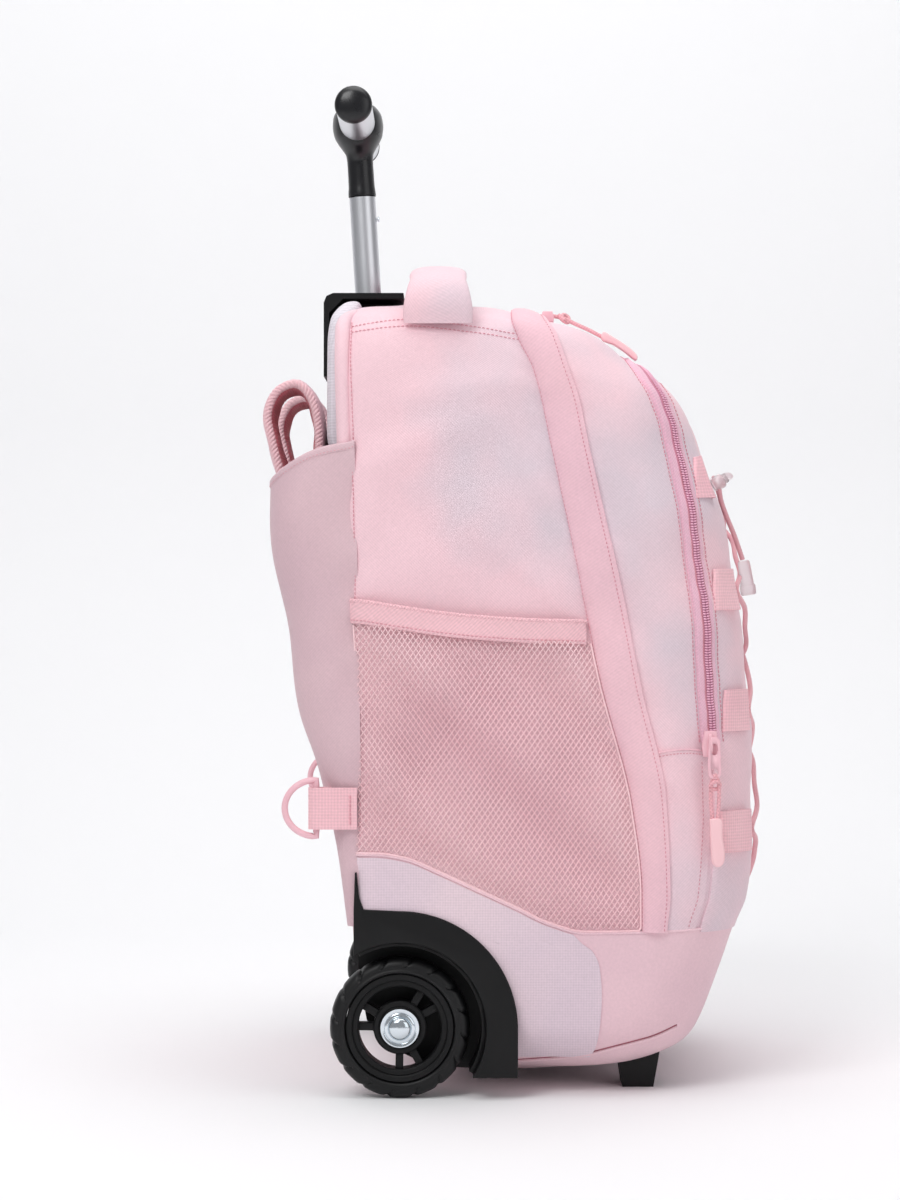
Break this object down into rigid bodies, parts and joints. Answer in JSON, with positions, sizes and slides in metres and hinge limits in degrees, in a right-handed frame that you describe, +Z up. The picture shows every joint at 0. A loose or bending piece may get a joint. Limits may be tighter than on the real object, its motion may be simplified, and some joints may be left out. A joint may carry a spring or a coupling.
{
  "type": "wheeled backpack",
  "caption": "School backpack on two wheels, with a sliding single-pole T handle, mesh side pockets, front pocket with laced elastic cord, and straps folded into a back cover.",
  "frame": {"origin": "on the floor, under the middle of the bounding box", "axes": "+X is the front of the bag with its pockets, the wheels and back pad are at -X, +Y is the wearer's right, +Z is up"},
  "size_m": [0.3152, 0.3164, 0.6251],
  "materials": {
    "black_plastic": "moulded ABS, fine grain",
    "aluminium": "satin anodised tube",
    "chrome": "plated steel",
    "tyre": "moulded rubber with lugs",
    "body_fabric": "pale pink polyester twill, faint clouded print",
    "flap_fabric": "pale pink polyester twill",
    "base_fabric": "pale pink twill and coarser oxford",
    "cover_fabric": "greyish pink polyester",
    "pad_fabric": "pale padded back panel",
    "mesh_yarn": "open diamond netting",
    "webbing": "woven webbing, 25 mm",
    "cord": "braided elastic cord",
    "pink_plastic": "moulded acetal",
    "clear_plastic": "translucent moulded plastic",
    "zip_tape": "coil zip on woven tape"
  },
  "bodies": {
    "bag": {"trolley_plate": "black_plastic", "outer_sleeve": "aluminium", "axle": "aluminium", "wheel_housing_left": "black_plastic", "foot_left": "black_plastic", "axle_cap_left": "chrome", "shoulder_strap_left": "cover_fabric", "mesh_pocket_left": "mesh_yarn", "pocket_binding_left": "webbing", "d_ring_tab_left": "webbing", "web_loop_left_1": "webbing", "web_loop_left_2": "webbing", "web_loop_left_3": "webbing", "web_loop_left_4": "webbing", "wheel_housing_right": "black_plastic", "foot_right": "black_plastic", "axle_cap_right": "chrome", "shoulder_strap_right": "cover_fabric", "mesh_pocket_right": "mesh_yarn", "pocket_binding_right": "webbing", "d_ring_tab_right": "webbing", "web_loop_right_1": "webbing", "web_loop_right_2": "webbing", "web_loop_right_3": "webbing", "web_loop_right_4": "webbing", "rear_shell": "body_fabric", "front_shell": "body_fabric", "front_pocket": "body_fabric", "grab_handle": "body_fabric", "base": "base_fabric", "zip_flap": "flap_fabric", "strap_cover": "cover_fabric", "back_pad": "pad_fabric", "pocket_zip": "zip_tape", "lacing_cord": "cord", "cord_tail_1": "cord", "cord_tail_2": "cord", "pocket_pull_cord": "cord", "main_pull_cord": "cord", "cord_lock": "clear_plastic", "cord_end": "clear_plastic", "pocket_zip_slider": "pink_plastic", "pocket_pull_tab": "pink_plastic", "pocket_pull_end": "pink_plastic", "main_zip_slider": "pink_plastic", "main_pull_end": "pink_plastic"},
    "handle": {"pole": "aluminium", "detent_button": "chrome", "grip_clamp": "black_plastic", "grip_bar": "aluminium", "grip_cap_left": "black_plastic", "grip_cap_right": "black_plastic"},
    "wheel_left": {"tyre_left": "tyre", "rim_left": "black_plastic"},
    "wheel_right": {"tyre_right": "tyre", "rim_right": "black_plastic"},
    "ring_left": {"d_ring_left": "pink_plastic"},
    "ring_right": {"d_ring_right": "pink_plastic"}
  },
  "joints": [
    {"name": "handle_slide", "type": "slide", "parent": "bag", "child": "handle", "axis": [-0.0609, 0, 0.9981], "range_m": [-0.062, 0.28]},
    {"name": "wheel_left_spin", "type": "hinge", "parent": "bag", "child": "wheel_left", "pos_m": [-0.0674, -0.1385, 0.0425], "axis": [0, 1, 0], "continuous": true},
    {"name": "wheel_right_spin", "type": "hinge", "parent": "bag", "child": "wheel_right", "pos_m": [-0.0674, 0.1385, 0.0425], "axis": [0, 1, 0], "continuous": true},
    {"name": "ring_left_swing", "type": "hinge", "parent": "bag", "child": "ring_left", "pos_m": [-0.1175, -0.148, 0.175], "axis": [0, 0, 1], "range_deg": [-70, 70]},
    {"name": "ring_right_swing", "type": "hinge", "parent": "bag", "child": "ring_right", "pos_m": [-0.1175, 0.148, 0.175], "axis": [0, 0, 1], "range_deg": [-70, 70]}
  ]
}
